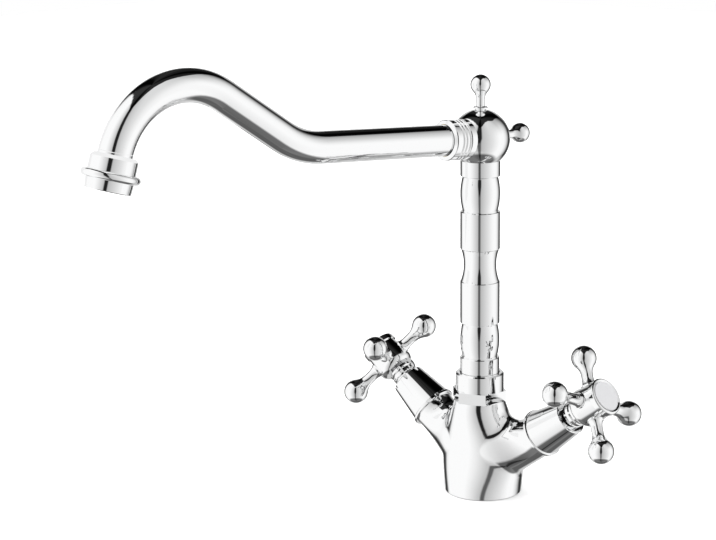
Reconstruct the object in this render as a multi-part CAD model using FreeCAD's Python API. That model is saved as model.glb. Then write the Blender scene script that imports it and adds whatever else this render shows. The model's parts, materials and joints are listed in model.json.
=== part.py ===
import FreeCAD, Part
import math
import os
from FreeCAD import Placement, Rotation, Vector

# A two-handle kitchen mixer with a swivelling swan-neck spout, in millimetres.
# The origin is the middle of the foot, where it stands on the worktop. +Z is up, the two arms lie along
# the X axis with the cold handle at +X, and the spout reaches towards -Y.

# Axes, seen from the middle of the foot
column_forward = 4.1        # the column stands this far towards the spout side
arm_setback = 3.6           # the arms lie this far towards the back
arm_pivot_height = 15.0     # height at which the two arm axes cross
arm_slope = 35.0            # degrees above level
spout_rest_angle = -9.9     # degrees about the column, as the spout stands at rest

# Clearances and small features shared by many pieces
running_clear = 0.05        # radial, between pieces that turn in each other
seat_clear = 0.05           # radial, between pieces that are screwed or pushed together
free_clear = 0.3            # radial, where a piece only passes through
face_gap = 0.02             # between flat faces that slide on each other
edge_break = 0.4            # chamfer on turned edges
cut_overrun = 1.0           # cuts run past the faces by this much
same_place = 1e-6           # points nearer than this are one point
skin_touch = 1e-3           # an edge nearer than this to a skin lies on it
full_turn = 360.0           # degrees
quarter_turn = full_turn / 4

# Body: foot, neck and arms
base_dia = 51.0
body_height = 63.5          # from the worktop to the seat of the swivel nut
body_height_shares = (0.0, 0.16, 0.32, 0.48, 0.63, 0.79, 0.90, 1.0)
body_swell_shares = (1.0, 1.12, 1.20, 1.10, 0.83, 0.47, 0.20, 0.0)
body_shift_shares = (0.0, 0.0, 0.0, 0.15, 0.45, 0.75, 0.92, 1.0)
body_width_shares = (1.0, 1.03, 1.07, 1.08, 1.06, 1.02, 1.0, 1.0)   # from arm to arm
body_depth_shares = (1.0, 0.93, 0.84, 0.81, 0.85, 0.94, 1.0, 1.0)   # from front to back
neck_ledge = 0.9            # the neck stands this far outside the nut's flats
arm_length = 54.8           # from the pivot to the end face
arm_dia = 28.4
arm_root_distance = 14.0
arm_root_shares = (0.294, 0.47, 0.475, 0.24)   # reach up, down, to the front and back, of base_dia
arm_lift_share = 0.176      # the root's middle lies this far above the arm's axis, of base_dia
arm_plain_length = 8.8      # the last stretch of the arm, with parallel sides
arm_place_shares = (0.0, 0.25, 0.5, 0.75, 1.0)
arm_flare_shares = (1.0, 0.90, 0.62, 0.23, 0.0)
arm_shoulder_share = 0.059     # the root's front is raised by this much, of base_dia
round_power = 2.0           # power of a circle or an ellipse
root_front_powers = (2.4, 2.2)  # of the root's upper and lower front, fuller than an ellipse
root_back_powers = (2.0, 1.8)   # of its upper and lower back
oval_points = 32
arm_blend_radius = 10.0     # fillet where arms and body meet

# Threaded holes under the foot
inlet_dia = 8.92            # M10 x 1, core
inlet_depth = 13.0
inlet_spacing = 21.0
stud_hole_dia = 6.8         # M8, core
stud_hole_depth = 14.0
stud_hole_forward = 12.0

# Seal under the foot
base_seal_dia = 43.0        # middle of the ring
base_seal_width = 3.0
base_seal_depth = 2.4

# Water ways in the body
feed_dia = 6.0
feed_start_distance = 10.0  # on the arm axis, from the pivot
outlet_dia = 5.6
chamber_dia = 14.0
chamber_depth = 15.0

# Swivel nut
nut_wall = 1.5              # at the middle of a flat
nut_hex_height = 7.2
nut_skirt_height = 11.7
nut_lip_height = 3.6
nut_chamfer = 0.9
nut_turn = 20.0             # degrees, first corner of the hexagon from +X when tightened

# Column
column_dia = 26.0
column_bore = 13.0
flange_step = 1.2           # the flange stands this far outside the column
flange_thickness = 2.4
flange_lip_gap = 0.2
glide_ring_thickness = 1.1
stem_dia = 18.0
stem_length = 26.0
bottom_ring_length = 10.5   # above the nut
barrel_length = 23.0
barrel_end_dia = 23.3
barrel_step_length = 0.8
lower_plain_length = 28.2
waist_length = 21.4
waist_dia = 21.3
upper_plain_length = 25.0
top_ring_length = 10.2
column_spigot_dia = 17.0    # threaded end inside the elbow
column_spigot_length = 8.0

# O-rings on the stem
stem_ring_wire = 2.4
stem_ring_count = 2
stem_ring_start = 6.0       # from the stem's lower end to the first ring
stem_ring_pitch = 9.0
groove_side_clear = 0.2

# Ball elbow, its socket and the two finials
ball_dia = 38.3
elbow_bore = 13.0
elbow_seal_thickness = 1.0
socket_length = 4.4         # plain ring that shows between ball and nut
socket_spigot_length = 6.0  # threaded end inside the spout nut
finial_step_dia = 6.6       # under the foot, on the ball's flat seat
finial_foot_dia = 9.2
finial_foot_height = 1.7    # from the ball's crown to the foot's upper face
finial_foot_thickness = 1.2
finial_neck_dia = 5.8
finial_neck_length = 4.6
finial_ball_dia = 13.1
finial_reach = 34.8         # from the middle of the elbow to the middle of the finial's ball
finial_stud_dia = 5.0
finial_stud_length = 7.0
finial_sink = 0.35          # the flat seat lies this far under the ball's crown

# Spout nut and what it clamps
spout_nut_length = 12.8
spout_nut_lip = 2.6
spout_nut_groove_depth = 0.9
spout_nut_groove_width = 1.5
spout_nut_groove_shares = (0.12, 0.34, 0.54)
spout_nut_slope = 0.8       # the end face falls back this far towards its rim
spout_thread_depth = 1.6    # the socket's thread lies this far inside the nut's skin
spout_washer_thickness = 1.3
ferrule_length = 2.2

# Spout tube
tube_dia = 20.0
tube_wall = 1.2
spout_rise = 3.8            # degrees, first straight run
spout_climb = 34.1          # degrees, second straight run
nozzle_lean = 16.5          # degrees from plumb, outwards
first_run = 129.0           # from the middle of the ball
first_bend_radius = 60.5
second_run = 49.3
arch_radius = 48.1

# Nozzle and aerator
nozzle_dia = 27.4
nozzle_socket_depth = 7.0   # straight end of the tube inside the collar
nozzle_chamfer = 2.0
nozzle_collar_length = 9.4
bead_dia = 34.0
bead_length = 5.0
lip_dia = 27.4
lip_end_dia = 26.6
lip_length = 6.2
nozzle_wall = 1.9           # around the aerator's thread
aerator_thread_length = 5.0
aerator_wall = 1.4
aerator_washer_thickness = 1.2
straightener_length = 4.0
straightener_hole_dia = 1.8
straightener_ring_shares = (0.36, 0.74)
straightener_ring_counts = (6, 12)
screen_thickness = 0.5
screen_gap = 0.6
screen_count = 2
screen_window_dia = 2.6
screen_window_pitch = 3.4

# Valves: stations along the arm axis, from the pivot outwards
pocket_depth = 24.8         # from the arm's end face to the pocket's floor
pocket_dia = 19.0
seat_seal_thickness = 2.0
seat_seal_dia = 16.4
disc_dia = 15.8
disc_thickness = 3.5
disc_port_dia = 3.6
disc_port_shift = 4.0
valve_chamber_length = 11.0     # inside the headwork, from the fixed disc's lower face
headwork_hex = 21.0             # across flats
headwork_hex_height = 5.0
headwork_window_dia = 5.0
headwork_ring_wire = 1.6
headwork_ring_from_end = 8.0    # from the arm's end face, inwards
gland_dia = 17.0
gland_collar_dia = 20.4
gland_collar_length = 5.0
gland_collar_back = 2.4         # from the cover's end to the collar
gland_groove_depth = 0.7
gland_groove_width = 1.4
gland_groove_shares = (0.30, 0.70)
gland_gap = 1.2                 # to the hub
spindle_dia = 8.0
spindle_foot_dia = 15.2
spindle_foot_thickness = 2.6
spindle_tab_width = 4.0
spindle_tab_height = 1.6
spindle_square = 6.0
spindle_ring_wire = 1.5
spindle_ring_from_hex = 12.0
clip_wire = 1.0
clip_gap_angle = 60.0

# Valve covers
cover_length = 28.5
cover_rim_dia = 32.0
cover_rim_width = 2.2
cover_foot_dia = 30.2
cover_end_dia = 23.4
cover_wall = 1.5
cover_seat_width = 1.0          # ring of the arm's end face that the cover stands on

# Handles
gland_show = 10.0               # from the cover's end to the hub
hub_rear_length = 10.0          # from the hub's back to the plane of the spokes
hub_front_length = 8.3
hub_dia = 25.4
hub_rear_dia = 22.0
hub_front_dia = 23.0
hub_shoulder_length = 5.0
spoke_reach = 32.85             # from the axis to the middle of a ball
spoke_ball_dia = 16.6
spoke_neck_dia = 7.8
spoke_root_dia = 10.4
spoke_neck_distance = 17.0
spoke_count = 4
spoke_flank_angle = 52.0        # degrees, where the stem runs into the ball
spoke_curve_share = 0.45        # how far each end of the stem's curve stays straight
cold_spoke_angle = -25.9        # degrees about the arm axis, as the handles stand at rest
hot_spoke_angle = 33.5
square_length = 9.5             # of the spindle's square inside the hub
screw_dia = 4.0
screw_head_dia = 7.6
screw_head_height = 2.6
screw_length = 9.0
screw_slot_width = 1.0
screw_slot_depth = 1.1
hub_web = 3.0                   # between the square and the screw's head
cap_dia = 24.8
cap_thickness = 5.1
cap_flare_length = 0.8          # behind the cap's straight side
cap_rim_width = 2.6
cap_dish_depth = 0.7
index_plate_thickness = 0.4
cap_plug_dia = 11.0
cap_plug_length = 2.8

# Worked out from the sizes above
hub_to_pivot = arm_length + cover_length + gland_show + hub_rear_length
flange_dia = column_dia + 2 * flange_step
nut_bore = flange_dia + 2 * free_clear
nut_flats = nut_bore + 2 * nut_wall
neck_dia = nut_flats + 2 * neck_ledge
nut_top = body_height + nut_hex_height + nut_skirt_height
nut_lip_underside = nut_top - nut_lip_height
flange_top = nut_lip_underside - flange_lip_gap
flange_underside = flange_top - flange_thickness
neck_top = flange_underside - face_gap - glide_ring_thickness
stem_bottom = flange_underside - stem_length
column_top = (nut_top + bottom_ring_length + 2 * barrel_length + lower_plain_length + waist_length
              + upper_plain_length + top_ring_length)
ball_height = column_top + math.sqrt((ball_dia / 2) ** 2 - (column_dia / 2) ** 2)
socket_start = math.sqrt((ball_dia / 2) ** 2 - (column_dia / 2) ** 2)
socket_end = socket_start + socket_length
spigot_end = socket_end + socket_spigot_length
spout_nut_bore = column_dia - 2 * spout_thread_depth
tube_start = spigot_end + spout_washer_thickness
cover_end = arm_length + cover_length
hub_back = hub_to_pivot - hub_rear_length
hub_front = hub_to_pivot + hub_front_length
gland_top = hub_back - gland_gap
seat_distance = arm_length - pocket_depth
disc_seat = seat_distance + seat_seal_thickness
chamber_end = disc_seat + valve_chamber_length
moving_disc_start = disc_seat + disc_thickness + face_gap
spindle_foot_start = moving_disc_start + disc_thickness + face_gap
headwork_bore = disc_dia + 2 * running_clear
headwork_dia = pocket_dia - 2 * seat_clear
square_end = hub_back + square_length
screw_seat = square_end + hub_web
column_axis = Vector(0, -column_forward, 0)
arm_pivot = Vector(0, arm_setback, arm_pivot_height)

sides = {"cold": 1, "hot": -1}
spoke_angles = {"cold": cold_spoke_angle, "hot": hot_spoke_angle}


class Outline:
    """A closed outline over radius and height, turned about the Z axis into a solid."""

    def __init__(self, radius, height):
        self.start = Vector(radius, 0, height)
        self.here = self.start
        self.edges = []

    def line(self, radius, height):
        there = Vector(radius, 0, height)
        if not there.isEqual(self.here, same_place):
            self.edges.append(Part.makeLine(self.here, there))
        self.here = there
        return self

    def arc(self, middle_radius, middle_height, radius, height):
        there = Vector(radius, 0, height)
        middle = Vector(middle_radius, 0, middle_height)
        self.edges.append(Part.Arc(self.here, middle, there).toShape())
        self.here = there
        return self

    def curve(self, first_pole, second_pole, radius, height):
        there = Vector(radius, 0, height)
        bezier = Part.BezierCurve()
        bezier.setPoles([self.here, Vector(first_pole[0], 0, first_pole[1]),
                         Vector(second_pole[0], 0, second_pole[1]), there])
        self.edges.append(bezier.toShape())
        self.here = there
        return self

    def turned(self):
        self.line(self.start.x, self.start.z)
        face = Part.Face(Part.Wire(self.edges))
        return solid_of(face.revolve(Vector(), Vector(0, 0, 1), full_turn))


def solid_of(shape):
    """The one solid of a shape, facing outwards."""
    solid = shape.Solids[0]
    if solid.Volume < 0:
        solid.reverse()
    return solid


def rod(dia, start, end):
    """A cylinder on the Z axis between two heights."""
    return Part.makeCylinder(dia / 2, end - start, Vector(0, 0, start))


def ring(outer_dia, inner_dia, start, end):
    """A flat ring on the Z axis, open in the middle."""
    hole = rod(inner_dia, start - cut_overrun, end + cut_overrun)
    return rod(outer_dia, start, end).cut(hole)


def hexagon(flats, start, end):
    """A hexagonal prism on the Z axis, with a corner on the X axis."""
    corner = flats / 2 / math.cos(math.pi / 6)
    turns = [math.pi / 3 * step for step in range(7)]
    points = [Vector(corner * math.cos(turn), corner * math.sin(turn), start) for turn in turns]
    return Part.Face(Part.makePolygon(points)).extrude(Vector(0, 0, end - start))


def round_ring(dia, wire, height):
    """An O-ring: dia runs through the middle of its section."""
    return Part.makeTorus(dia / 2, wire / 2, Vector(0, 0, height))


def moved(shape, placement):
    """A copy of a shape, carried to a place."""
    copy = shape.copy()
    copy.Placement = placement.multiply(copy.Placement)
    return copy


def spread(shape, count):
    """Copies of a shape, evenly about the Z axis."""
    step = full_turn / count
    turns = [Rotation(Vector(0, 0, 1), step * index) for index in range(count)]
    return [moved(shape, Placement(Vector(), turn)) for turn in turns]


def on_column(shape):
    """From the column's own frame to the part's frame, as it stands at rest."""
    return moved(shape, Placement(column_axis, Rotation(Vector(0, 0, 1), spout_rest_angle)))


def on_neck(shape):
    """From the column's own frame to the part's frame, for what stays with the body."""
    return moved(shape, Placement(column_axis, Rotation(Vector(0, 0, 1), nut_turn)))


def on_spout(shape, forward_place):
    """From a frame whose Z axis follows the spout to the part's frame."""
    return on_column(moved(shape, forward_place))


def arm_place(side):
    """Frame of an arm: Z runs outwards along the arm, X upwards across it."""
    slope = math.radians(arm_slope)
    along = Vector(side * math.cos(slope), 0, math.sin(slope))
    across = Vector(-side * math.sin(slope), 0, math.cos(slope))
    return Placement(arm_pivot, Rotation(across, along.cross(across), along, "ZXY"))


def tilted_place(forward, height, angle):
    """Frame in the spout's plane: Z points forwards, angle degrees above level."""
    rise = math.radians(angle)
    along = Vector(0, -math.cos(rise), math.sin(rise))
    side = Vector(1, 0, 0)
    return Placement(Vector(0, -forward, height), Rotation(side, along.cross(side), along, "ZXY"))


def body_core():
    """Foot and neck: one smooth skin through ovals that drift from the foot's axis to the column's."""
    neck_radius = neck_dia / 2
    swell = base_dia / 2 - neck_radius
    seam = math.radians(quarter_turn)
    ovals = []
    for height, wide, shift, width, depth in zip(body_height_shares, body_swell_shares, body_shift_shares,
                                                 body_width_shares, body_depth_shares):
        middle = Vector(0, -column_forward * shift, body_height * height)
        radius = neck_radius + swell * wide
        oval = Part.Ellipse(middle, radius * width, radius * depth)
        ovals.append(Part.Wire(oval.toShape(seam, seam + math.tau)))
    return Part.makeLoft(ovals, True, False)


def arm_oval(side, distance, flare):
    """A section across an arm: round where flare is 0, the wide lifted root where it is 1."""
    half = arm_dia / 2
    up, down, front, back = [half + flare * (share * base_dia - half) for share in arm_root_shares]
    lift = flare * arm_lift_share * base_dia
    points = []
    for step in range(oval_points):
        turn = math.tau * step / oval_points
        upwards = math.cos(turn)
        forwards = math.sin(turn)
        upper_power, lower_power = root_front_powers if forwards > 0 else root_back_powers
        root_power = upper_power if upwards > 0 else lower_power
        power = round_power + flare * (root_power - round_power)
        size = (abs(upwards) ** power + abs(forwards) ** power) ** (-1 / power)
        height = (up if upwards > 0 else down) * upwards * size
        across = (front if forwards > 0 else back) * forwards * size
        shoulder = flare * arm_shoulder_share * base_dia * max(forwards, 0) ** 2
        points.append(Vector(lift + height + shoulder, side * across, distance))
    curve = Part.BSplineCurve()
    curve.interpolate(points, PeriodicFlag=True)
    return Part.Wire(curve.toShape())


def body_arm(side):
    """One arm: round at its end, flaring to a wide oval inside the body."""
    flare_length = arm_length - arm_plain_length - arm_root_distance
    ovals = [arm_oval(side, arm_root_distance + place * flare_length, flare)
             for place, flare in zip(arm_place_shares, arm_flare_shares)]
    ovals.append(arm_oval(side, arm_length, 0))
    return moved(Part.makeLoft(ovals, True, False), arm_place(side))


def skin(shape):
    """The faces of a shape that aren't flat."""
    return Part.Compound([face for face in shape.Faces if not isinstance(face.Surface, Part.Plane)])


def junction_edges(shape, core, arms):
    """Edges of the joined shape where an arm's skin meets the core's skin."""
    core_skin = skin(core)
    arm_skin = Part.Compound([skin(arm) for arm in arms])
    found = []
    for edge in shape.Edges:
        middle = Part.Vertex(edge.valueAt((edge.FirstParameter + edge.LastParameter) / 2))
        if middle.distToShape(core_skin)[0] < skin_touch and middle.distToShape(arm_skin)[0] < skin_touch:
            found.append(edge)
    return found


def mixer_body():
    core = body_core()
    arms = [body_arm(side) for side in sides.values()]
    shape = core.fuse(arms)
    shape = shape.makeFillet(arm_blend_radius, junction_edges(shape, core, arms))
    shape = shape.cut(rod(2 * arm_length, -arm_length, 0))
    neck_thread = rod(nut_bore - 2 * seat_clear, body_height - cut_overrun, neck_top)
    neck_thread.translate(column_axis)
    shape = shape.fuse(neck_thread)
    cuts = [rod(stem_dia + 2 * running_clear, stem_bottom - cut_overrun, neck_top + cut_overrun),
            rod(chamber_dia, stem_bottom - chamber_depth, stem_bottom)]
    for cut in cuts:
        cut.translate(column_axis)
    stud_hole = rod(stud_hole_dia, -cut_overrun, stud_hole_depth)
    stud_hole.translate(Vector(0, -stud_hole_forward, 0))
    cuts.append(stud_hole)
    groove_width = base_seal_width + 2 * seat_clear
    cuts.append(ring(base_seal_dia + groove_width, base_seal_dia - groove_width,
                     -cut_overrun, base_seal_depth + seat_clear))
    for side in sides.values():
        cuts += valve_ways(side)
    for cut in cuts:
        shape = shape.cut(cut)
    return shape


def valve_ways(side):
    """The valve's pocket in one arm, its feed from below and its outlet to the mixing chamber."""
    place = arm_place(side)
    slope = math.radians(arm_slope)
    pocket = moved(rod(pocket_dia, seat_distance, arm_length + cut_overrun), place)
    feed = moved(rod(feed_dia, feed_start_distance, seat_distance + cut_overrun), place)
    inlet_at = Vector(side * inlet_spacing / 2, arm_setback, 0)
    inlet = rod(inlet_dia, -cut_overrun, inlet_depth)
    riser_top = arm_pivot_height + inlet_spacing / 2 * math.tan(slope)
    riser = rod(feed_dia, inlet_depth - cut_overrun, riser_top)
    for hole in (inlet, riser):
        hole.translate(inlet_at)
    window_distance = disc_seat + valve_chamber_length - headwork_window_dia / 2
    outlet_height = arm_pivot_height + window_distance * math.sin(slope)
    outlet_from = Vector(0, (arm_setback - column_forward) / 2, outlet_height)
    outlet_reach = window_distance * math.cos(slope)
    outlet = Part.makeCylinder(outlet_dia / 2, outlet_reach, outlet_from, Vector(side, 0, 0))
    return [pocket, feed, inlet, riser, outlet]


def base_seal():
    return ring(base_seal_dia + base_seal_width, base_seal_dia - base_seal_width, 0, base_seal_depth)


def swivel_nut():
    """Hexagon below, round skirt above, and a lip that keeps the column's flange down."""
    hexagon_top = body_height + nut_hex_height
    skirt = Outline(0, hexagon_top - cut_overrun)
    skirt.line(nut_flats / 2, hexagon_top - cut_overrun)
    skirt.line(nut_flats / 2, nut_top - nut_chamfer)
    skirt.line(nut_flats / 2 - nut_chamfer, nut_top)
    skirt.line(0, nut_top)
    shape = hexagon(nut_flats, body_height, hexagon_top).fuse(skirt.turned())
    shape = shape.cut(rod(nut_bore, body_height - cut_overrun, nut_lip_underside))
    shape = shape.cut(rod(column_dia + 2 * free_clear, body_height, nut_top + cut_overrun))
    return on_neck(shape.removeSplitter())


def glide_ring():
    shape = ring(flange_dia, stem_dia + 2 * free_clear, neck_top, neck_top + glide_ring_thickness)
    return on_neck(shape)


def stem_ring_heights():
    return [stem_bottom + stem_ring_start + stem_ring_pitch * index for index in range(stem_ring_count)]


def stem_ring_dia():
    """Through the middle of the section: the ring fills the gap up to the body's bore."""
    return stem_dia - stem_ring_wire


def add_barrel(outline, start):
    """A swelling stretch of the column between two narrow steps."""
    step = barrel_step_length
    end = start + barrel_length
    outline.line(barrel_end_dia / 2, start)
    outline.line(barrel_end_dia / 2, start + step)
    outline.arc(column_dia / 2, start + barrel_length / 2, barrel_end_dia / 2, end - step)
    outline.line(barrel_end_dia / 2, end)


def add_plain(outline, start, length):
    """A plain stretch of the column with broken edges."""
    radius = column_dia / 2
    outline.line(radius - edge_break, start)
    outline.line(radius, start + edge_break)
    outline.line(radius, start + length - edge_break)
    outline.line(radius - edge_break, start + length)


def column():
    """Stem, flange and the turned column above the nut, up to the thread inside the elbow."""
    radius = column_dia / 2
    outline = Outline(column_bore / 2, stem_bottom)
    outline.line(stem_dia / 2 - edge_break, stem_bottom)
    outline.line(stem_dia / 2, stem_bottom + edge_break)
    outline.line(stem_dia / 2, flange_underside)
    outline.line(flange_dia / 2, flange_underside)
    outline.line(flange_dia / 2, flange_top)
    outline.line(radius, flange_top)
    height = nut_top + bottom_ring_length
    outline.line(radius, height - edge_break)
    outline.line(radius - edge_break, height)
    add_barrel(outline, height)
    height += barrel_length
    add_plain(outline, height, lower_plain_length)
    height += lower_plain_length
    outline.arc(waist_dia / 2, height + waist_length / 2, radius - edge_break, height + waist_length)
    height += waist_length
    add_plain(outline, height, upper_plain_length)
    height += upper_plain_length
    add_barrel(outline, height)
    height += barrel_length
    outline.line(radius - edge_break, height)
    outline.line(radius, height + edge_break)
    outline.line(radius, column_top)
    outline.line(column_spigot_dia / 2, column_top)
    outline.line(column_spigot_dia / 2, column_top + column_spigot_length)
    outline.line(column_bore / 2, column_top + column_spigot_length)
    shape = outline.turned()
    groove_floor = stem_ring_dia() - stem_ring_wire - 2 * seat_clear
    for height in stem_ring_heights():
        half = stem_ring_wire / 2 + groove_side_clear
        shape = shape.cut(ring(stem_dia + cut_overrun, groove_floor, height - half, height + half))
    return on_column(shape)


def stem_o_ring(index):
    return on_column(round_ring(stem_ring_dia(), stem_ring_wire, stem_ring_heights()[index]))


def elbow_place():
    return Placement(Vector(0, 0, ball_height), Rotation())


def level_back_place():
    """Frame of the rear finial: Z points backwards from the middle of the ball."""
    along = Vector(0, 1, 0)
    side = Vector(1, 0, 0)
    return Placement(Vector(0, 0, ball_height), Rotation(side, along.cross(side), along, "ZXY"))


def ball_elbow():
    """Ball with a flat seat on the column, a socket for the spout and two seats for finials."""
    middle = Vector(0, 0, ball_height)
    spout = tilted_place(0, ball_height, spout_rise)
    shape = Part.makeSphere(ball_dia / 2, middle)
    socket = Outline(0, 0)
    socket.line(column_dia / 2, 0)
    socket.line(column_dia / 2, socket_end - edge_break)
    socket.line(column_dia / 2 - edge_break, socket_end)
    socket.line(spout_nut_bore / 2 - seat_clear, socket_end)
    socket.line(spout_nut_bore / 2 - seat_clear, spigot_end)
    socket.line(0, spigot_end)
    shape = shape.fuse(moved(socket.turned(), spout))
    below = rod(2 * ball_dia, column_top - ball_dia, column_top)
    column_socket = rod(column_spigot_dia + 2 * seat_clear, column_top - cut_overrun,
                        column_top + column_spigot_length + elbow_seal_thickness)
    cuts = [below, column_socket, rod(elbow_bore, column_top, ball_height)]
    cuts.append(Part.makeSphere(elbow_bore / 2, middle))
    cuts.append(moved(rod(elbow_bore, 0, spigot_end + cut_overrun), spout))
    seat = ball_dia / 2 - finial_sink
    for place in (elbow_place(), level_back_place()):
        stud_hole = rod(finial_stud_dia + 2 * seat_clear, seat - finial_stud_length - cut_overrun, ball_dia / 2)
        flat = rod(finial_step_dia + 2 * seat_clear, seat, ball_dia)
        cuts += [moved(stud_hole, place), moved(flat, place)]
    for cut in cuts:
        shape = shape.cut(cut)
    return on_column(shape)


def elbow_seal():
    start = column_top + column_spigot_length
    return on_column(ring(column_spigot_dia, elbow_bore, start, start + elbow_seal_thickness))


def finial():
    """Turned knob on the Z axis: stud, step, foot, neck and a drop-shaped ball."""
    seat = ball_dia / 2 - finial_sink
    foot_top = seat + finial_foot_height + finial_sink
    neck_top_at = foot_top + finial_neck_length
    radius = finial_ball_dia / 2
    neck = finial_neck_dia / 2
    flank = math.radians(spoke_flank_angle)
    flank_radius = radius * math.sin(flank)
    flank_height = finial_reach - radius * math.cos(flank)
    pull = spoke_curve_share * (flank_height - neck_top_at)
    outline = Outline(0, seat - finial_stud_length)
    outline.line(finial_stud_dia / 2, seat - finial_stud_length)
    outline.line(finial_stud_dia / 2, seat)
    outline.line(finial_step_dia / 2, seat)
    outline.line(finial_step_dia / 2, foot_top - finial_foot_thickness)
    outline.line(finial_foot_dia / 2, foot_top - finial_foot_thickness)
    outline.line(finial_foot_dia / 2, foot_top - edge_break)
    outline.line(finial_foot_dia / 2 - edge_break, foot_top)
    outline.curve((neck, foot_top), (neck, foot_top), neck, neck_top_at - finial_neck_length / 2)
    outline.line(neck, neck_top_at)
    outline.curve((neck, neck_top_at + pull),
                  (flank_radius - pull * math.cos(flank), flank_height - pull * math.sin(flank)),
                  flank_radius, flank_height)
    outline.arc(radius, finial_reach, 0, finial_reach + radius)
    return outline.turned()


def top_finial():
    return on_column(moved(finial(), elbow_place()))


def rear_finial():
    return on_column(moved(finial(), level_back_place()))


def spout_place():
    return tilted_place(0, ball_height, spout_rise)


def spout_nut():
    """Ringed nut that clamps the spout's ferrule against the elbow."""
    start = socket_end
    end = start + spout_nut_length
    radius = column_dia / 2
    groove_width = spout_nut_groove_width
    outline = Outline(spout_nut_bore / 2, start)
    outline.line(radius - edge_break, start)
    outline.line(radius, start + edge_break)
    for share in spout_nut_groove_shares:
        middle = start + spout_nut_length * share
        outline.line(radius, middle - groove_width / 2)
        outline.line(radius - spout_nut_groove_depth, middle)
        outline.line(radius, middle + groove_width / 2)
    outline.line(radius, end - spout_nut_slope - edge_break)
    outline.line(radius - edge_break, end - spout_nut_slope)
    outline.line(tube_dia / 2 + free_clear, end)
    outline.line(tube_dia / 2 + free_clear, end - spout_nut_lip)
    outline.line(spout_nut_bore / 2, end - spout_nut_lip)
    return on_spout(outline.turned(), spout_place())


def spout_washer():
    shape = ring(spout_nut_bore - 2 * free_clear, elbow_bore, spigot_end, tube_start)
    return on_spout(shape, spout_place())


def spout_ferrule():
    end = socket_end + spout_nut_length - spout_nut_lip
    shape = ring(spout_nut_bore - 2 * free_clear, tube_dia + 2 * seat_clear, end - ferrule_length, end)
    return on_spout(shape, spout_place())


class SpoutLine:
    """The spout's middle line in its own plane, made of straight runs and tangent arcs."""

    def __init__(self, forward, height, angle):
        self.forward = forward
        self.height = height
        self.angle = math.radians(angle)
        self.edges = []

    def here(self):
        return Vector(0, -self.forward, self.height)

    def run(self, length):
        start = self.here()
        self.forward += length * math.cos(self.angle)
        self.height += length * math.sin(self.angle)
        self.edges.append(Part.makeLine(start, self.here()))

    def on_arc(self, centre, radius, angle, turn):
        return centre[0] + turn * radius * math.sin(angle), centre[1] - turn * radius * math.cos(angle)

    def bend(self, radius, angle):
        start = self.here()
        last = math.radians(angle)
        turn = math.copysign(1, last - self.angle)
        centre = (self.forward - turn * radius * math.sin(self.angle),
                  self.height + turn * radius * math.cos(self.angle))
        middle = self.on_arc(centre, radius, (self.angle + last) / 2, turn)
        self.forward, self.height = self.on_arc(centre, radius, last, turn)
        self.angle = last
        self.edges.append(Part.Arc(start, Vector(0, -middle[0], middle[1]), self.here()).toShape())


def spout_line():
    """From the ferrule to the end of the arch, and on into the nozzle's socket."""
    rise = math.radians(spout_rise)
    line = SpoutLine(tube_start * math.cos(rise), ball_height + tube_start * math.sin(rise), spout_rise)
    line.run(first_run - tube_start)
    line.bend(first_bend_radius, spout_climb)
    line.run(second_run)
    line.bend(arch_radius, nozzle_lean - quarter_turn)
    return line


def nozzle_place():
    """Frame of the nozzle: Z points out of the mouth, from the end of the arch."""
    line = spout_line()
    return tilted_place(line.forward, line.height, nozzle_lean - quarter_turn)


def spout_tube():
    line = spout_line()
    line.run(nozzle_socket_depth)
    path = Part.Wire(line.edges)
    skins = []
    for dia in (tube_dia, tube_dia - 2 * tube_wall):
        start = path.OrderedVertexes[0].Point
        rise = math.radians(spout_rise)
        circle = Part.Circle(start, Vector(0, -math.cos(rise), math.sin(rise)), dia / 2)
        section = Part.Wire(circle.toShape())
        skins.append(solid_of(path.makePipeShell([section], True, False)))
    tube = skins[0].cut(skins[1])
    return on_column(tube)


def aerator_bore():
    return nozzle_dia - 2 * nozzle_wall


def aerator_start():
    return nozzle_collar_length + bead_length - aerator_thread_length


def spout_nozzle():
    """Collar with a chamfered shoulder, and the round bead under it."""
    radius = nozzle_dia / 2
    end = nozzle_collar_length + bead_length
    tube_radius = tube_dia / 2 + seat_clear
    way = tube_dia / 2 - tube_wall
    outline = Outline(tube_radius, 0)
    outline.line(radius - nozzle_chamfer, 0)
    outline.line(radius, nozzle_chamfer)
    outline.line(radius, nozzle_collar_length)
    outline.line(bead_dia / 2 - bead_length / 2, nozzle_collar_length)
    outline.arc(bead_dia / 2, nozzle_collar_length + bead_length / 2, bead_dia / 2 - bead_length / 2, end)
    outline.line(aerator_bore() / 2, end)
    outline.line(aerator_bore() / 2, aerator_start())
    outline.line(way, aerator_start())
    outline.line(way, nozzle_socket_depth)
    outline.line(tube_radius, nozzle_socket_depth)
    return on_spout(outline.turned(), nozzle_place())


def aerator_inner_dia():
    return aerator_bore() - 2 * seat_clear - 2 * aerator_wall


def aerator_shell():
    """Screwed into the nozzle from below, with a lip that shows under the bead."""
    top = aerator_start() + aerator_washer_thickness
    seat = nozzle_collar_length + bead_length
    end = seat + lip_length
    thread = aerator_bore() / 2 - seat_clear
    inner = aerator_inner_dia() / 2
    outline = Outline(inner, top)
    outline.line(thread, top)
    outline.line(thread, seat)
    outline.line(lip_dia / 2, seat)
    outline.line(lip_end_dia / 2, end - edge_break)
    outline.line(lip_end_dia / 2 - edge_break, end)
    outline.line(inner - aerator_wall, end)
    outline.line(inner - aerator_wall, end - aerator_wall)
    outline.line(inner, end - aerator_wall)
    return on_spout(outline.turned(), nozzle_place())


def aerator_washer():
    start = aerator_start()
    shape = ring(aerator_bore() - 2 * seat_clear, tube_dia - 2 * tube_wall,
                 start, start + aerator_washer_thickness)
    return on_spout(shape, nozzle_place())


def aerator_floor():
    """Where the lowest screen lies, on the shell's inner ledge."""
    return nozzle_collar_length + bead_length + lip_length - aerator_wall


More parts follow.
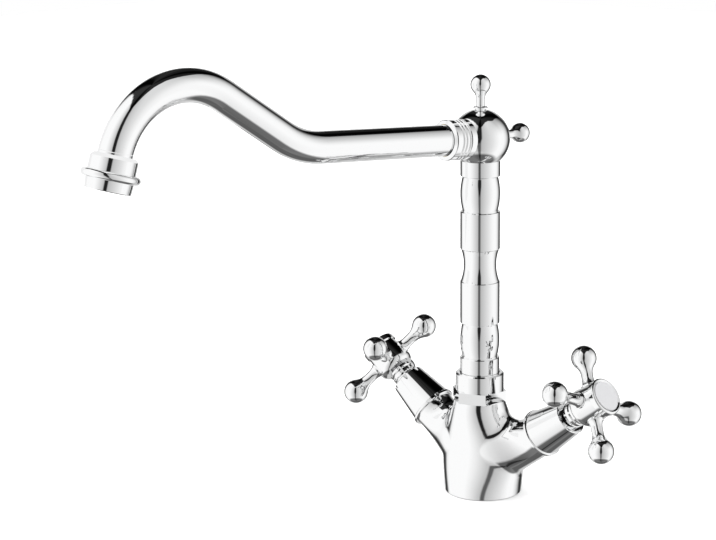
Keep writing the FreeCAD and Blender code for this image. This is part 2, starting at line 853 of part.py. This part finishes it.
def screen_pitch():
    return screen_thickness + screen_gap


def flow_straightener():
    """A plug with rings of small holes, standing on the screens."""
    end = aerator_floor() - screen_count * screen_pitch()
    outer = aerator_inner_dia() - 2 * seat_clear
    shape = rod(outer, end - straightener_length, end)
    for share, count in zip(straightener_ring_shares, straightener_ring_counts):
        hole = rod(straightener_hole_dia, end - straightener_length - cut_overrun, end + cut_overrun)
        hole.translate(Vector(outer / 2 * share, 0, 0))
        shape = shape.cut(Part.makeCompound(spread(hole, count)))
    rim = ring(outer, outer - 2 * aerator_wall, end, aerator_floor() - screen_count * screen_thickness)
    return on_spout(shape.fuse(rim).removeSplitter(), nozzle_place())


def screen_centres(reach):
    """Window centres on a square grid that lie wholly inside the screen."""
    steps = int(reach // screen_window_pitch)
    places = [screen_window_pitch * index for index in range(-steps, steps + 1)]
    return [(across, along) for across in places for along in places if math.hypot(across, along) < reach]


def aerator_screen(index):
    """A thin disc with windows; the lowest lies on the shell's ledge."""
    outer = aerator_inner_dia() - 2 * seat_clear
    reach = outer / 2 - aerator_wall - screen_window_dia / 2
    end = aerator_floor() - index * screen_thickness
    screen = rod(outer, end - screen_thickness, end)
    windows = []
    for across, along in screen_centres(reach):
        window = rod(screen_window_dia, end - screen_thickness - cut_overrun, end + cut_overrun)
        window.translate(Vector(across, along, 0))
        windows.append(window)
    return on_spout(screen.cut(Part.makeCompound(windows)), nozzle_place())


def valve_cover():
    """Conical cover with a rim at the arm; its end leaves a dark gap round the gland."""
    rim_end = arm_length + cover_rim_width
    inner_foot = arm_dia / 2 - cover_seat_width
    collar = gland_collar_dia / 2 + seat_clear
    collar_start = cover_end - gland_collar_back - gland_collar_length
    outline = Outline(inner_foot, arm_length)
    outline.line(cover_rim_dia / 2 - edge_break, arm_length)
    outline.line(cover_rim_dia / 2, arm_length + edge_break)
    outline.line(cover_rim_dia / 2, rim_end - edge_break)
    outline.line(cover_rim_dia / 2 - edge_break, rim_end)
    outline.line(cover_foot_dia / 2, rim_end)
    outline.line(cover_end_dia / 2, cover_end - edge_break)
    outline.line(cover_end_dia / 2 - edge_break, cover_end)
    outline.line(collar, cover_end)
    outline.line(collar, collar_start)
    outline.line(inner_foot, arm_length + headwork_hex_height + cover_wall)
    return outline.turned()


def headwork():
    """Valve body: shell round the discs, hexagon on the arm's end, and the gland that shows."""
    hex_end = arm_length + headwork_hex_height
    collar_end = cover_end - gland_collar_back
    collar_start = collar_end - gland_collar_length
    shape = rod(headwork_dia, disc_seat, arm_length)
    shape = shape.fuse(hexagon(headwork_hex, arm_length, hex_end))
    gland = Outline(0, arm_length)
    gland.line(gland_dia / 2, arm_length)
    gland.line(gland_dia / 2, collar_start)
    gland.line(gland_collar_dia / 2, collar_start)
    gland.line(gland_collar_dia / 2, collar_end)
    gland.line(gland_dia / 2, collar_end)
    for share in gland_groove_shares:
        middle = cover_end + (gland_top - cover_end) * share
        gland.line(gland_dia / 2, middle - gland_groove_width / 2)
        gland.line(gland_dia / 2 - gland_groove_depth, middle)
        gland.line(gland_dia / 2, middle + gland_groove_width / 2)
    gland.line(gland_dia / 2, gland_top - edge_break)
    gland.line(gland_dia / 2 - edge_break, gland_top)
    gland.line(0, gland_top)
    shape = shape.fuse(gland.turned())
    shape = shape.cut(rod(headwork_bore, disc_seat - cut_overrun, chamber_end))
    shape = shape.cut(rod(spindle_dia + 2 * running_clear, disc_seat, gland_top + cut_overrun))
    window_at = Vector(-pocket_dia, 0, chamber_end - headwork_window_dia / 2)
    shape = shape.cut(Part.makeCylinder(headwork_window_dia / 2, 2 * pocket_dia, window_at, Vector(1, 0, 0)))
    ring_at = arm_length - headwork_ring_from_end
    half = headwork_ring_wire / 2 + groove_side_clear
    floor = headwork_ring_dia() - headwork_ring_wire - 2 * seat_clear
    return shape.cut(ring(pocket_dia + cut_overrun, floor, ring_at - half, ring_at + half))


def headwork_ring_dia():
    return headwork_dia - headwork_ring_wire


def headwork_o_ring():
    return round_ring(headwork_ring_dia(), headwork_ring_wire, arm_length - headwork_ring_from_end)


def port():
    """Two round ports through a disc, on opposite sides of the axis."""
    hole = rod(disc_port_dia, seat_distance - cut_overrun, cover_end)
    hole.translate(Vector(disc_port_shift, 0, 0))
    return Part.makeCompound(spread(hole, 2))


def seat_seal():
    return ring(seat_seal_dia, feed_dia, seat_distance, disc_seat)


def fixed_disc():
    return rod(disc_dia, disc_seat, disc_seat + disc_thickness).cut(port())


def tab(clear):
    """A bar across the axis that carries the spindle's turn into the moving disc."""
    width = spindle_tab_width + 2 * clear
    length = spindle_foot_dia + 2 * clear
    low = spindle_foot_start - spindle_tab_height - clear
    high = spindle_foot_start + spindle_foot_thickness
    return Part.makeBox(width, length, high - low, Vector(-width / 2, -length / 2, low))


def moving_disc():
    shape = rod(disc_dia, moving_disc_start, moving_disc_start + disc_thickness).cut(port())
    return shape.cut(tab(seat_clear))


def spindle():
    """Foot with a driving bar, round stem, and a square that fits the handle."""
    foot_end = spindle_foot_start + spindle_foot_thickness
    stem_end = hub_back
    shape = rod(spindle_foot_dia, spindle_foot_start, foot_end)
    round_bar = tab(0).common(rod(spindle_foot_dia, disc_seat, foot_end))
    shape = shape.fuse([round_bar, rod(spindle_dia, foot_end - cut_overrun, stem_end)])
    square = Part.makeBox(spindle_square, spindle_square, square_end - stem_end + cut_overrun,
                          Vector(-spindle_square / 2, -spindle_square / 2, stem_end - cut_overrun))
    square = square.common(rod(spindle_dia, stem_end - cut_overrun, square_end))
    shape = shape.fuse(square)
    screw_hole = rod(screw_dia + 2 * seat_clear, screw_seat - screw_length - cut_overrun,
                     square_end + cut_overrun)
    shape = shape.cut(screw_hole)
    ring_at = spindle_ring_at()
    half = spindle_ring_wire / 2 + groove_side_clear
    floor = spindle_ring_dia() - spindle_ring_wire - 2 * seat_clear
    shape = shape.cut(ring(spindle_dia + cut_overrun, floor, ring_at - half, ring_at + half))
    clip_half = clip_wire / 2 + seat_clear
    clip_floor = spindle_dia - clip_wire
    clip_at = clip_middle()
    return shape.cut(ring(spindle_dia + cut_overrun, clip_floor, clip_at - clip_half, clip_at + clip_half))


def spindle_ring_at():
    return arm_length + headwork_hex_height + spindle_ring_from_hex


def spindle_ring_dia():
    return spindle_dia - spindle_ring_wire


def spindle_o_ring():
    return round_ring(spindle_ring_dia(), spindle_ring_wire, spindle_ring_at())


def clip_middle():
    """In the space between the gland's top and the hub's back."""
    return gland_top + gland_gap / 2


def spindle_clip():
    """A flat open ring that keeps the spindle from dropping into the valve."""
    half = clip_wire / 2
    inner = spindle_dia - clip_wire + 2 * seat_clear
    shape = ring(spindle_dia + 2 * clip_wire, inner, clip_middle() - half, clip_middle() + half)
    reach = spindle_dia + clip_wire
    span = reach * math.tan(math.radians(clip_gap_angle / 2))
    corners = [Vector(), Vector(reach, span, 0), Vector(reach, -span, 0), Vector()]
    wedge = Part.Face(Part.makePolygon(corners)).extrude(Vector(0, 0, 2 * clip_wire))
    wedge.translate(Vector(0, 0, clip_middle() - clip_wire))
    return shape.cut(wedge)


def spoke():
    """A drop-shaped spoke on the Z axis, from inside the hub to the tip of its ball."""
    radius = spoke_ball_dia / 2
    neck = spoke_neck_dia / 2
    root = spoke_root_dia / 2
    root_at = hub_dia / 2
    flank = math.radians(spoke_flank_angle)
    flank_radius = radius * math.sin(flank)
    flank_at = spoke_reach - radius * math.cos(flank)
    pull = spoke_curve_share * (flank_at - spoke_neck_distance)
    bend = (spoke_neck_distance - root_at) / 2
    inner = cap_plug_dia / 2 + free_clear
    outline = Outline(0, inner)
    outline.line(root, inner)
    outline.line(root, root_at - edge_break)
    outline.curve((neck + (root - neck) * spoke_curve_share, root_at), (neck, spoke_neck_distance - bend),
                  neck, spoke_neck_distance)
    outline.curve((neck, spoke_neck_distance + pull),
                  (flank_radius - pull * math.cos(flank), flank_at - pull * math.sin(flank)),
                  flank_radius, flank_at)
    outline.arc(radius, spoke_reach, 0, spoke_reach + radius)
    return outline.turned()


def cross_handle():
    """Hub with four ball-ended spokes; its back holds the spindle's square, its front the cap."""
    shoulder_end = hub_back + hub_shoulder_length
    shoulder_mid = (hub_dia + hub_rear_dia) / 4
    bow = (hub_dia - hub_rear_dia) / 2 * (1 - math.sqrt(0.5))
    hub = Outline(0, hub_back)
    hub.line(hub_rear_dia / 2 - edge_break, hub_back)
    hub.line(hub_rear_dia / 2, hub_back + edge_break)
    hub.arc(shoulder_mid + bow, hub_back + hub_shoulder_length / 2 - bow / 2, hub_dia / 2, shoulder_end)
    hub.line(hub_front_dia / 2, hub_front)
    hub.line(0, hub_front)
    shape = hub.turned()
    outwards = Placement(Vector(0, 0, hub_to_pivot), Rotation(Vector(0, 1, 0), quarter_turn))
    for piece in spread(moved(spoke(), outwards), spoke_count):
        shape = shape.fuse(piece)
    width = spindle_square + 2 * seat_clear
    square = Part.makeBox(width, width, square_end + seat_clear - hub_back + cut_overrun,
                          Vector(-width / 2, -width / 2, hub_back - cut_overrun))
    cuts = [square, rod(screw_dia + 2 * free_clear, square_end - cut_overrun, screw_seat + cut_overrun),
            rod(cap_plug_dia + 2 * seat_clear, screw_seat, hub_front + cut_overrun)]
    for cut in cuts:
        shape = shape.cut(cut)
    return shape


def handle_screw():
    head_top = screw_seat + screw_head_height
    shape = rod(screw_dia, screw_seat - screw_length, screw_seat + cut_overrun)
    shape = shape.fuse(rod(screw_head_dia, screw_seat, head_top))
    slot = Part.makeBox(screw_head_dia + cut_overrun, screw_slot_width, screw_slot_depth + cut_overrun,
                        Vector(-(screw_head_dia + cut_overrun) / 2, -screw_slot_width / 2,
                               head_top - screw_slot_depth))
    return shape.cut(slot).removeSplitter()


def index_cap():
    """Plain round cap with a raised rim, pushed into the front of the hub."""
    front = hub_front + cap_thickness
    radius = cap_dia / 2
    dish = radius - cap_rim_width
    edge_round = cap_rim_width / 2
    bow = edge_round * (1 - math.sqrt(0.5))
    outline = Outline(0, hub_front - cap_plug_length)
    outline.line(cap_plug_dia / 2, hub_front - cap_plug_length)
    outline.line(cap_plug_dia / 2, hub_front)
    outline.line(hub_front_dia / 2, hub_front)
    outline.line(radius, hub_front + cap_flare_length)
    outline.line(radius, front - edge_round)
    outline.arc(radius - bow, front - bow, radius - edge_round, front)
    outline.line(dish, front - cap_dish_depth)
    outline.line(0, front - cap_dish_depth)
    return outline.turned()


def index_plate():
    """Plain disc that lies in the dish of the index cap."""
    floor = hub_front + cap_thickness - cap_dish_depth
    return rod(cap_dia - 2 * cap_rim_width - 2 * seat_clear, floor, floor + index_plate_thickness)


fixed_valve_pieces = {
    "valve_cover": valve_cover,
    "headwork": headwork,
    "headwork_o_ring": headwork_o_ring,
    "seat_seal": seat_seal,
    "fixed_disc": fixed_disc,
}

turning_valve_pieces = {
    "handle": cross_handle,
    "index_cap": index_cap,
    "index_plate": index_plate,
    "handle_screw": handle_screw,
    "spindle": spindle,
    "spindle_o_ring": spindle_o_ring,
    "spindle_clip": spindle_clip,
    "moving_disc": moving_disc,
}

single_pieces = {
    "mixer_body": mixer_body,
    "base_seal": base_seal,
    "swivel_nut": swivel_nut,
    "glide_ring": glide_ring,
    "column": column,
    "ball_elbow": ball_elbow,
    "elbow_seal": elbow_seal,
    "top_finial": top_finial,
    "rear_finial": rear_finial,
    "spout_nut": spout_nut,
    "spout_washer": spout_washer,
    "spout_ferrule": spout_ferrule,
    "spout_tube": spout_tube,
    "spout_nozzle": spout_nozzle,
    "aerator_shell": aerator_shell,
    "aerator_washer": aerator_washer,
    "flow_straightener": flow_straightener,
}


def all_pieces():
    """Every node's name with its solid, in the part's frame."""
    pieces = {name: make() for name, make in single_pieces.items()}
    for index in range(stem_ring_count):
        pieces["stem_o_ring_" + str(index + 1)] = stem_o_ring(index)
    for index in range(screen_count):
        pieces["aerator_screen_" + str(index + 1)] = aerator_screen(index)
    for side_name, side in sides.items():
        place = arm_place(side)
        turned_place = place.multiply(Placement(Vector(), Rotation(Vector(0, 0, 1), spoke_angles[side_name])))
        for name, make in fixed_valve_pieces.items():
            pieces[side_name + "_" + name] = moved(make(), place)
        for name, make in turning_valve_pieces.items():
            pieces[side_name + "_" + name] = moved(make(), turned_place)
    return pieces


os.makedirs("parts", exist_ok=True)
for node, shape in all_pieces().items():
    shape.exportStep("parts/" + node + ".step")
    state = "valid" if shape.isValid() else "not valid"
    print(node, len(shape.Solids), "solid", round(shape.Volume), "mm3", state)
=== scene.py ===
import json
import math

import bpy
from mathutils import Matrix, Vector

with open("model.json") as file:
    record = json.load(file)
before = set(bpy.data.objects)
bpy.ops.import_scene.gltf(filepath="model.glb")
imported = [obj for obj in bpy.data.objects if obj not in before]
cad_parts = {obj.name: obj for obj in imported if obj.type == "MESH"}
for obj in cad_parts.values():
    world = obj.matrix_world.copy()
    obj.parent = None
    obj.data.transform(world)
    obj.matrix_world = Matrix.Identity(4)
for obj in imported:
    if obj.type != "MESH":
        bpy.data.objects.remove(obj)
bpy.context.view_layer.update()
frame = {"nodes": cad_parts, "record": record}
nodes = frame["nodes"]

# Surfaces: noise scales per metre, bump heights in metres
smear_scale = 55.0
smear_range = (0.35, 0.75)      # of the noise, from clean to smeared
wave_scale = 90.0
wave_height = 0.0004
grain_scale = 400.0
plate_grain_scale = 700.0
grain_range = (0.3, 0.7)        # of the noise, from smooth to rough
grain_height = 0.0002
fine_detail = 4.0
coarse_detail = 2.0

# Floor and white sheets, in metres
floor_size = 6.0
floor_drop = 0.0005             # the floor lies this far under the foot
floor_color = (0.93, 0.93, 0.93, 1)
floor_roughness = 0.9
sheet_glow = 0.9
nozzle_sheet_size = 0.22
nozzle_sheet_place = Vector((-0.206, -0.220, 0.235))
nozzle_sheet_facing = Vector((0.92, -0.38, -0.05))
collar_sheet_size = 0.031
collar_sheet_place = Vector((-0.0468, -0.2721, 0.2594))
collar_sheet_facing = Vector((-0.049, -0.280, -0.959))

# Camera: the photograph's own, worked out from the object's straight and round edges
photo_width = 716               # pixels
focal_length = 1893.5           # pixels
film_width = 36.0               # millimetres
sight_limit = 50.0              # metres
azimuth = math.radians(37.676)  # where the camera stands, seen from the foot
heading = azimuth + math.radians(3.903)
pitch = math.radians(13.016)
roll = math.radians(-0.674)
reach = 1.21037                 # metres from the foot's axis
eye_height = 0.43036

# Light: angles in degrees, azimuths to the right of the camera and heights above level
panel_levels = (
    (-180, 0.7), (-163, 0.6), (-152, 0.05), (-140, 0.025), (-132, 0.25), (-126, 0.85), (-115, 1.0),
    (-60, 1.0), (-45, 0.88), (-28, 0.70), (-18, 0.58), (-8, 0.50), (4, 0.50), (20, 0.60), (49, 0.78),
    (62, 0.88), (81, 1.0), (104, 0.98), (117, 0.78), (128, 0.45), (134, 0.15), (140, 0.025), (152, 0.05),
    (163, 0.6), (180, 0.7))
low_heights = (-45, -28)
low_levels = (0.6, 0.0)
gap_azimuth = -4
gap_sides = (3, 10)             # from its middle to where its edges begin and end
gap_growth_heights = (-8, 12)
gap_growth = (0, 4)             # its edges move out by this much upwards
gap_heights = (-13, -5)
gap_levels = (0.22, 0.03)
flag_edge_shares = (            # height of the flag's lower edge, as a share of the way from level to zenith
    (-180, 0.22), (-140, 0.33), (-125, 0.56), (-110, 0.67), (-80, 0.75), (-45, 0.74), (-20, 0.66),
    (-4, 0.55), (12, 0.62), (25, 0.71), (48, 0.77), (80, 0.75), (104, 0.60), (122, 0.54), (136, 0.43),
    (145, 0.28), (180, 0.22))
flag_softness = (-1.5, 1.5)
flag_levels = (1.0, 0.035)
right_shares = ((-180, 0.0), (40, 0.0), (95, 1.0), (180, 1.0))
right_heights = (5, 52)
right_shades = (0.0, 0.48)
ground_heights = (-60, -47)
ground_levels = (0.18, 1.0)
white = (1, 1, 1, 1)
sun_strength = 4.6
sun_width = math.radians(120)


class Nodes:
    """A short way to write node trees."""

    def __init__(self, tree):
        self.tree = tree
        self.tree.nodes.clear()

    def add(self, kind, **settings):
        node = self.tree.nodes.new(kind)
        for name, value in settings.items():
            setattr(node, name, value)
        return node

    def link(self, source, target):
        self.tree.links.new(source, target)

    def math(self, operation, *values):
        node = self.add("ShaderNodeMath", operation=operation)
        for socket, value in zip(node.inputs, values):
            if isinstance(value, (int, float)):
                socket.default_value = value
            else:
                self.link(value, socket)
        return node.outputs[0]

    def ramp(self, value, places, levels):
        """A soft step from the first level to the second, between the two places."""
        node = self.add("ShaderNodeMapRange", interpolation_type="SMOOTHSTEP")
        self.link(value, node.inputs["Value"])
        for socket, number in zip(("From Min", "From Max", "To Min", "To Max"), (*places, *levels)):
            node.inputs[socket].default_value = number
        return node.outputs["Result"]

    def fade(self, angle, degrees, levels):
        """A soft step between two angles."""
        return self.ramp(angle, [math.radians(place) for place in degrees], levels)

    def stops(self, angle, levels):
        """A curve through listed levels, given as angle in degrees and value."""
        ramp = self.add("ShaderNodeValToRGB")
        ramp.color_ramp.interpolation = "LINEAR"
        self.link(self.math("MULTIPLY_ADD", angle, 1 / math.tau, 0.5), ramp.inputs["Fac"])
        elements = ramp.color_ramp.elements
        while len(elements) < len(levels):
            elements.new(0.5)
        for element, (degrees, level) in zip(elements, levels):
            element.position = degrees / 360 + 0.5
            element.color = (level, level, level, 1)
        return ramp.outputs["Color"]

    def noise(self, scale, detail):
        coords = self.add("ShaderNodeTexCoord")
        node = self.add("ShaderNodeTexNoise")
        node.inputs["Scale"].default_value = scale
        node.inputs["Detail"].default_value = detail
        node.inputs["Roughness"].default_value = 0.5
        self.link(coords.outputs["Object"], node.inputs["Vector"])
        return node.outputs["Fac"]

    def bump(self, shader, heights, strength, distance):
        node = self.add("ShaderNodeBump")
        node.inputs["Strength"].default_value = strength
        node.inputs["Distance"].default_value = distance
        self.link(heights, node.inputs["Height"])
        self.link(node.outputs["Normal"], shader.inputs["Normal"])


# Materials

def principled(name, color, metallic):
    """A new material, with its nodes and its shader."""
    material = bpy.data.materials.new(name)
    material.use_nodes = True
    n = Nodes(material.node_tree)
    out = n.add("ShaderNodeOutputMaterial")
    shader = n.add("ShaderNodeBsdfPrincipled")
    shader.inputs["Base Color"].default_value = color
    shader.inputs["Metallic"].default_value = metallic
    n.link(shader.outputs["BSDF"], out.inputs["Surface"])
    return material, n, shader


def plated(name, color, roughness, spread, bump):
    """Polished metal: faint smears change its gloss, and a faint waviness bends its reflections."""
    material, n, shader = principled(name, (*color, 1), 1.0)
    smears = n.ramp(n.noise(smear_scale, fine_detail), smear_range, (roughness, roughness + spread))
    n.link(smears, shader.inputs["Roughness"])
    n.bump(shader, n.noise(wave_scale, coarse_detail), bump, wave_height)
    return material


def plain(name, color, roughness, scale=grain_scale, metallic=0.0, bump=0.05):
    """Rubber, plastic, ceramic or bare metal with a fine grain."""
    material, n, shader = principled(name, (*color, 1), metallic)
    grain = n.noise(scale, fine_detail)
    n.link(n.ramp(grain, grain_range, (roughness, roughness + 0.1)), shader.inputs["Roughness"])
    n.bump(shader, grain, bump, grain_height)
    return material


materials = {
    "chrome": plated("chrome", (0.965, 0.968, 0.97), 0.03, 0.03, 0.02),
    "seal_rubber": plain("seal_rubber", (0.02, 0.02, 0.02), 0.7),
    "brass": plain("brass", (0.75, 0.62, 0.33), 0.28, metallic=1.0),
    "steel": plain("steel", (0.58, 0.58, 0.59), 0.3, metallic=1.0),
    "white_plastic": plain("white_plastic", (0.78, 0.78, 0.76), 0.4),
    "ceramic": plain("ceramic", (0.85, 0.84, 0.8), 0.15),
    "pearl": plain("pearl", (0.47, 0.47, 0.48), 0.35, scale=plate_grain_scale, bump=0.12),
}

slots = {entry["node"]: entry["material_slot"] for entry in frame["record"]["subparts"]}
for name, node in nodes.items():
    node.data.materials.clear()
    node.data.materials.append(materials[slots[name]])
for side in ("hot", "cold"):
    nodes[side + "_headwork"].data.materials[0] = materials["chrome"]
    nodes[side + "_index_plate"].data.materials[0] = materials["pearl"]


# Studio

def card(name, size):
    """A square that faces up."""
    mesh = bpy.data.meshes.new(name)
    half = size / 2
    corners = [(-half, -half, 0), (half, -half, 0), (half, half, 0), (-half, half, 0)]
    mesh.from_pydata(corners, [], [(0, 1, 2, 3)])
    sheet = bpy.data.objects.new(name, mesh)
    bpy.context.scene.collection.objects.link(sheet)
    return sheet


def pale_floor():
    """A matt floor that the chrome doesn't mirror."""
    floor = card("floor", floor_size)
    paint, _, shader = principled("floor_paint", floor_color, 0.0)
    shader.inputs["Roughness"].default_value = floor_roughness
    shader.inputs["Specular IOR Level"].default_value = 0.0
    floor.data.materials.append(paint)
    floor.location = (0, 0, -floor_drop)
    floor.visible_glossy = False


def sheet_material():
    material = bpy.data.materials.new("sheet_paint")
    material.use_nodes = True
    n = Nodes(material.node_tree)
    out = n.add("ShaderNodeOutputMaterial")
    glow = n.add("ShaderNodeEmission")
    glow.inputs["Color"].default_value = white
    glow.inputs["Strength"].default_value = sheet_glow
    n.link(glow.outputs["Emission"], out.inputs["Surface"])
    return material


def white_sheet(name, size, place, facing, paint):
    """A glowing card that only reflections see."""
    sheet = card(name, size)
    sheet.data.materials.append(paint)
    sheet.matrix_world = Matrix.Translation(place) @ facing.to_track_quat("Z", "Y").to_matrix().to_4x4()
    sheet.visible_camera = False
    sheet.visible_diffuse = False
    sheet.visible_shadow = False


def photo_camera():
    camera_data = bpy.data.cameras.new("camera")
    camera_data.sensor_width = film_width
    camera_data.lens = focal_length / photo_width * film_width
    camera_data.clip_end = sight_limit
    camera = bpy.data.objects.new("camera", camera_data)
    bpy.context.scene.collection.objects.link(camera)
    level = math.cos(pitch)
    forward = Vector((-math.sin(heading) * level, math.cos(heading) * level, -math.sin(pitch)))
    right = forward.cross(Vector((0, 0, 1))).normalized()
    up = right.cross(forward)
    right_rolled = right * math.cos(roll) + up * math.sin(roll)
    up_rolled = up * math.cos(roll) - right * math.sin(roll)
    turn = Matrix((right_rolled, up_rolled, -forward)).transposed()
    place = Vector((reach * math.sin(azimuth), -reach * math.cos(azimuth), eye_height))
    camera.matrix_world = Matrix.Translation(place) @ turn.to_4x4()
    bpy.context.scene.camera = camera


def ray_angles(n):
    """A ray's azimuth from the camera's side and its height above level."""
    coords = n.add("ShaderNodeTexCoord")
    axes = n.add("ShaderNodeSeparateXYZ")
    n.link(coords.outputs["Generated"], axes.inputs[0])
    x, y, z = axes.outputs
    sine = math.sin(azimuth)
    cosine = math.cos(azimuth)
    towards = n.math("MULTIPLY_ADD", y, -cosine, n.math("MULTIPLY", x, sine))
    sideways = n.math("MULTIPLY_ADD", y, sine, n.math("MULTIPLY", x, cosine))
    return n.math("ARCTAN2", sideways, towards), n.math("ARCSINE", z)


def dark_gap(n, angle, height):
    """A narrow gap between the panels, which grows wider and darker upwards."""
    from_middle = n.math("ABSOLUTE", n.math("SUBTRACT", angle, math.radians(gap_azimuth)))
    growth = n.fade(height, gap_growth_heights, [math.radians(degrees) for degrees in gap_growth])
    beside = n.fade(n.math("SUBTRACT", from_middle, growth), gap_sides, (0.0, 1.0))
    inside = n.fade(height, gap_heights, gap_levels)
    return n.math("MULTIPLY_ADD", beside, n.math("SUBTRACT", 1.0, inside), inside)


def dark_flag(n, angle, height):
    """A flag overhead, which hangs lowest over the gap and behind the object."""
    above_edge = n.math("MULTIPLY_ADD", n.stops(angle, flag_edge_shares), -math.pi / 2, height)
    return n.fade(above_edge, flag_softness, flag_levels)


def right_shade(n, angle, height):
    """The panel at the right is greyer towards its top."""
    shade = n.math("MULTIPLY", n.stops(angle, right_shares), n.fade(height, right_heights, right_shades))
    return n.math("SUBTRACT", 1.0, shade)


def studio_world():
    """White panels around the object for reflections, and a white backdrop for the camera."""
    world = bpy.data.worlds.new("studio")
    world.use_nodes = True
    n = Nodes(world.node_tree)
    angle, height = ray_angles(n)
    level = n.math("MAXIMUM", n.stops(angle, panel_levels), n.fade(height, low_heights, low_levels))
    level = n.math("MULTIPLY", level, dark_gap(n, angle, height))
    level = n.math("MULTIPLY", level, dark_flag(n, angle, height))
    level = n.math("MULTIPLY", level, right_shade(n, angle, height))
    level = n.math("MULTIPLY", level, n.fade(height, ground_heights, ground_levels))
    panels = n.add("ShaderNodeBackground")
    panels.inputs["Color"].default_value = white
    n.link(level, panels.inputs["Strength"])
    backdrop = n.add("ShaderNodeBackground")
    backdrop.inputs["Color"].default_value = white
    backdrop.inputs["Strength"].default_value = 1.0
    path = n.add("ShaderNodeLightPath")
    choose = n.add("ShaderNodeMixShader")
    n.link(path.outputs["Is Camera Ray"], choose.inputs["Fac"])
    n.link(panels.outputs[0], choose.inputs[1])
    n.link(backdrop.outputs[0], choose.inputs[2])
    out = n.add("ShaderNodeOutputWorld")
    n.link(choose.outputs[0], out.inputs["Surface"])
    bpy.context.scene.world = world


def overhead_light():
    sun_data = bpy.data.lights.new("overhead", "SUN")
    sun_data.energy = sun_strength
    sun_data.angle = sun_width
    sun = bpy.data.objects.new("overhead", sun_data)
    sun.visible_glossy = False
    bpy.context.scene.collection.objects.link(sun)


pale_floor()
sheet_paint = sheet_material()
white_sheet("nozzle_sheet", nozzle_sheet_size, nozzle_sheet_place, nozzle_sheet_facing, sheet_paint)
white_sheet("collar_sheet", collar_sheet_size, collar_sheet_place, collar_sheet_facing, sheet_paint)
photo_camera()
studio_world()
overhead_light()
bpy.context.scene.view_settings.view_transform = "Standard"
bpy.context.scene.view_settings.look = "None"
